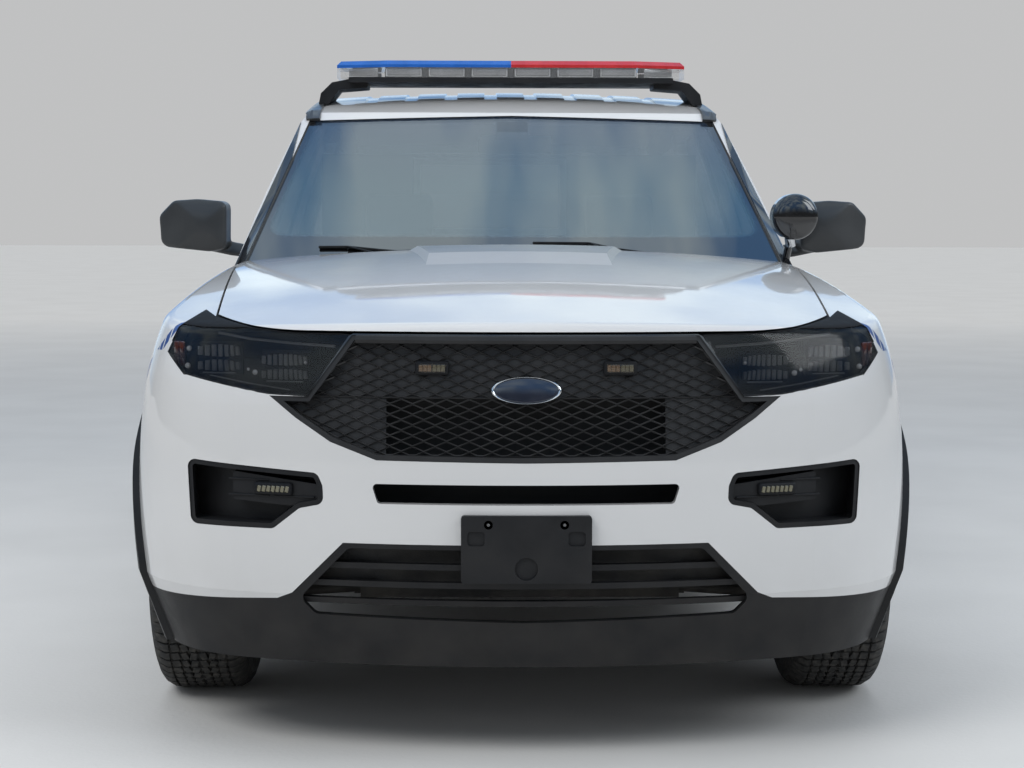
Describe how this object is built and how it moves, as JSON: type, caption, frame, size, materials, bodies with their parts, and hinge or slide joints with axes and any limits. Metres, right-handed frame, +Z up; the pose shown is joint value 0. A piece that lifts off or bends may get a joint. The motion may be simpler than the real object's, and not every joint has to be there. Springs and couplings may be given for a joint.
{
  "type": "police patrol car",
  "caption": "Five-door sport utility patrol car with mesh grille, roof light bar, spotlight, hinged doors, hood and liftgate, and steered, rolling wheels.",
  "frame": {"origin": "on the ground midway along and across the car", "axes": "+X to the car's left, +Y to its rear, +Z up"},
  "size_m": [2.2506, 5.0738, 1.8409],
  "materials": {
    "white_paint": "gloss white car paint",
    "black_plastic": "grained matt black",
    "lamp_plastic": "smoked clear lens over grey reflectors",
    "red_lens": "translucent red",
    "blue_lens": "translucent blue",
    "clear_lens": "clear lens",
    "glass": "tinted glass",
    "dark_paint": "dark underbody coating",
    "steel": "plain steel",
    "aluminium": "plain aluminium",
    "cast_metal": "cast metal",
    "cabin_plastic": "soft grained dark",
    "seat_fabric": "dark woven cloth",
    "partition_steel": "satin black",
    "gloss_black": "gloss black",
    "tyre": "black tread rubber",
    "rim_steel": "satin black wheel paint"
  },
  "bodies": {
    "car_body": {"body_side_left": "white_paint", "body_side_right": "white_paint", "cowl_panel": "black_plastic", "dashboard": "cabin_plastic", "engine": "cast_metal", "exhaust": "steel", "fender_left": "white_paint", "fender_right": "white_paint", "floor_pan": "dark_paint", "fog_lamps": "black_plastic", "front_bumper": "white_paint", "front_frame": "dark_paint", "front_seats": "seat_fabric", "front_subframe": "steel", "front_valance": "black_plastic", "grille_frame": "black_plastic", "grille_mesh": "black_plastic", "headlamp_left": "lamp_plastic", "headlamp_right": "lamp_plastic", "light_bar_base": "black_plastic", "light_bar_blue": "blue_lens", "light_bar_lens": "clear_lens", "light_bar_red": "red_lens", "partition": "partition_steel", "plate_bracket": "black_plastic", "quarter_glass": "glass", "radiator": "aluminium", "rear_bench": "seat_fabric", "rear_bumper": "white_paint", "rear_subframe": "steel", "roof_panel": "white_paint", "side_cladding": "black_plastic", "spotlight": "gloss_black", "tail_lamps": "red_lens", "windscreen": "glass"},
    "front_door_left": {"front_door_left": "white_paint", "front_door_glass_left": "glass", "mirror_left": "black_plastic"},
    "rear_door_left": {"rear_door_left": "white_paint", "rear_door_glass_left": "glass"},
    "knuckle_left": {"knuckle_left": "steel"},
    "wheel_front_left": {"rim_front_left": "rim_steel", "tyre_front_left": "tyre"},
    "wheel_rear_left": {"rim_rear_left": "rim_steel", "tyre_rear_left": "tyre"},
    "front_door_right": {"front_door_right": "white_paint", "front_door_glass_right": "glass", "mirror_right": "black_plastic"},
    "rear_door_right": {"rear_door_right": "white_paint", "rear_door_glass_right": "glass"},
    "knuckle_right": {"knuckle_right": "steel"},
    "wheel_front_right": {"rim_front_right": "rim_steel", "tyre_front_right": "tyre"},
    "wheel_rear_right": {"rim_rear_right": "rim_steel", "tyre_rear_right": "tyre"},
    "hood": {"hood": "white_paint"},
    "liftgate": {"liftgate": "white_paint", "liftgate_glass": "glass"},
    "steering_wheel": {"steering_wheel": "cabin_plastic"}
  },
  "joints": [
    {"name": "front_door_left_hinge", "type": "hinge", "parent": "car_body", "child": "front_door_left", "pos_m": [1, -0.899, 0.7], "axis": [0, 0, -1], "range_deg": [0, 70]},
    {"name": "rear_door_left_hinge", "type": "hinge", "parent": "car_body", "child": "rear_door_left", "pos_m": [1, 0.154, 0.7], "axis": [0, 0, -1], "range_deg": [0, 70]},
    {"name": "front_door_right_hinge", "type": "hinge", "parent": "car_body", "child": "front_door_right", "pos_m": [-1, -0.899, 0.7], "axis": [0, 0, 1], "range_deg": [0, 70]},
    {"name": "rear_door_right_hinge", "type": "hinge", "parent": "car_body", "child": "rear_door_right", "pos_m": [-1, 0.154, 0.7], "axis": [0, 0, 1], "range_deg": [0, 70]},
    {"name": "hood_hinge", "type": "hinge", "parent": "car_body", "child": "hood", "pos_m": [0, -0.9, 1.16], "axis": [-1, 0, 0], "range_deg": [0, 60]},
    {"name": "liftgate_hinge", "type": "hinge", "parent": "car_body", "child": "liftgate", "pos_m": [0, 2.185, 1.7], "axis": [1, 0, 0], "range_deg": [0, 85]},
    {"name": "steer_left", "type": "hinge", "parent": "car_body", "child": "knuckle_left", "pos_m": [0.79, -1.63, 0.3815], "axis": [0, 0, 1], "range_deg": [-35, 35]},
    {"name": "steer_right", "type": "hinge", "parent": "car_body", "child": "knuckle_right", "pos_m": [-0.79, -1.63, 0.3815], "axis": [0, 0, 1], "range_deg": [-35, 35]},
    {"name": "steering_wheel_turn", "type": "hinge", "parent": "car_body", "child": "steering_wheel", "pos_m": [0.4, -0.47, 1], "axis": [0, 0.9247, 0.3808], "range_deg": [-525, 525]},
    {"name": "wheel_front_left_spin", "type": "hinge", "parent": "knuckle_left", "child": "wheel_front_left", "pos_m": [0.851, -1.63, 0.3815], "axis": [1, 0, 0], "continuous": true},
    {"name": "wheel_front_right_spin", "type": "hinge", "parent": "knuckle_right", "child": "wheel_front_right", "pos_m": [-0.851, -1.63, 0.3815], "axis": [1, 0, 0], "continuous": true},
    {"name": "wheel_rear_left_spin", "type": "hinge", "parent": "car_body", "child": "wheel_rear_left", "pos_m": [0.851, 1.395, 0.3815], "axis": [1, 0, 0], "continuous": true},
    {"name": "wheel_rear_right_spin", "type": "hinge", "parent": "car_body", "child": "wheel_rear_right", "pos_m": [-0.851, 1.395, 0.3815], "axis": [1, 0, 0], "continuous": true}
  ],
  "couplings": [
    {"joint": "steer_right", "follows": "steer_left", "ratio": 1},
    {"joint": "steering_wheel_turn", "follows": "steer_left", "ratio": 15}
  ]
}
